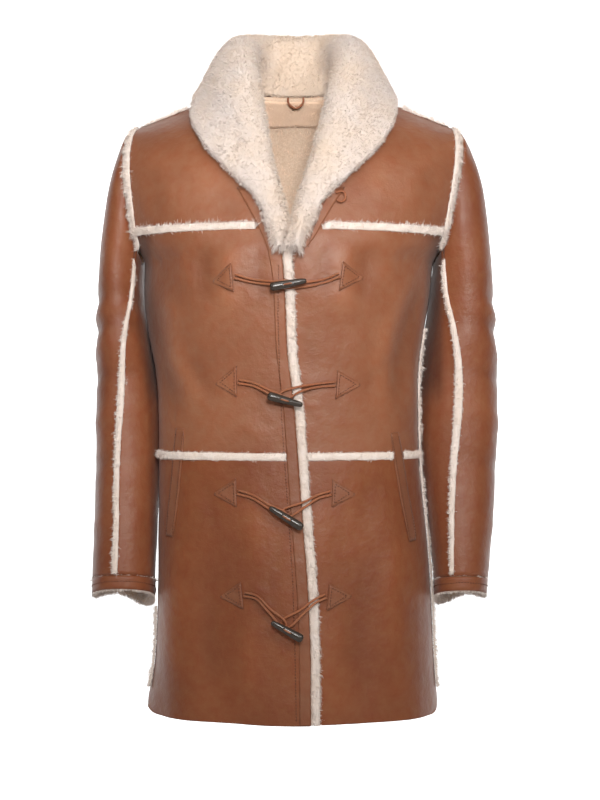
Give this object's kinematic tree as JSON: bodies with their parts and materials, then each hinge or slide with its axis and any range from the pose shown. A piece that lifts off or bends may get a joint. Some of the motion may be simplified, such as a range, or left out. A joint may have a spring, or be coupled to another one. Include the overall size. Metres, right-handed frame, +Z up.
{
  "type": "shearling coat",
  "caption": "Hip-length sheepskin coat, leather side out, with a fleece shawl collar, raw fleece seam edges, toggle fastenings, welt pockets and open vents, filled out as worn.",
  "frame": {"origin": "centre of the base of the neck, level with the high point of the shoulder seams, where the wearer's shoulders and neck hold the coat", "axes": "+X towards the wearer's left, -Y towards the front, +Z up along the coat's length"},
  "size_m": [0.5778, 0.3109, 0.9788],
  "materials": {
    "leather": "soft sueded nappa in a warm caramel tan, lightly polished on the folds",
    "fleece": "curly cream sheep's wool, matt",
    "suede": "matt beige suede",
    "thong": "rolled leather thong, the same caramel tan, satin",
    "horn": "dark brown polished horn with paler streaks"
  },
  "bodies": {
    "root": {"armhole_fleece_left": "fleece", "armhole_fleece_right": "fleece", "back_body": "leather", "back_neck_facing": "suede", "back_skirt": "leather", "back_yoke": "leather", "collar_fleece": "fleece", "collar_skin": "leather", "cuff_band_left": "leather", "cuff_band_right": "leather", "front_band_left": "leather", "front_band_right": "leather", "front_body_left": "leather", "front_body_right": "leather", "front_edge_fleece": "fleece", "front_skirt_left": "leather", "front_skirt_right": "leather", "front_yoke_left": "leather", "front_yoke_right": "leather", "hanger_loop": "thong", "patch_1_left": "leather", "patch_1_right": "leather", "patch_2_left": "leather", "patch_2_right": "leather", "patch_3_left": "leather", "patch_3_right": "leather", "patch_4_left": "leather", "patch_4_right": "leather", "pocket_welt_left": "leather", "pocket_welt_right": "leather", "shoulder_fleece_left": "fleece", "shoulder_fleece_right": "fleece", "side_fleece_left": "fleece", "side_fleece_right": "fleece", "sleeve_back_fleece_left": "fleece", "sleeve_back_fleece_right": "fleece", "sleeve_front_fleece_left": "fleece", "sleeve_front_fleece_right": "fleece", "thong_1_left": "thong", "thong_1_right": "thong", "thong_2_left": "thong", "thong_2_right": "thong", "thong_3_left": "thong", "thong_3_right": "thong", "thong_4_left": "thong", "thong_4_right": "thong", "throat_loop": "thong", "toggle_1": "horn", "toggle_2": "horn", "toggle_3": "horn", "toggle_4": "horn", "top_sleeve_left": "leather", "top_sleeve_right": "leather", "under_sleeve_left": "leather", "under_sleeve_right": "leather", "waist_fleece_left": "fleece", "waist_fleece_left_end": "fleece", "waist_fleece_right": "fleece", "yoke_fleece_left": "fleece", "yoke_fleece_right": "fleece"}
  },
  "joints": []
}
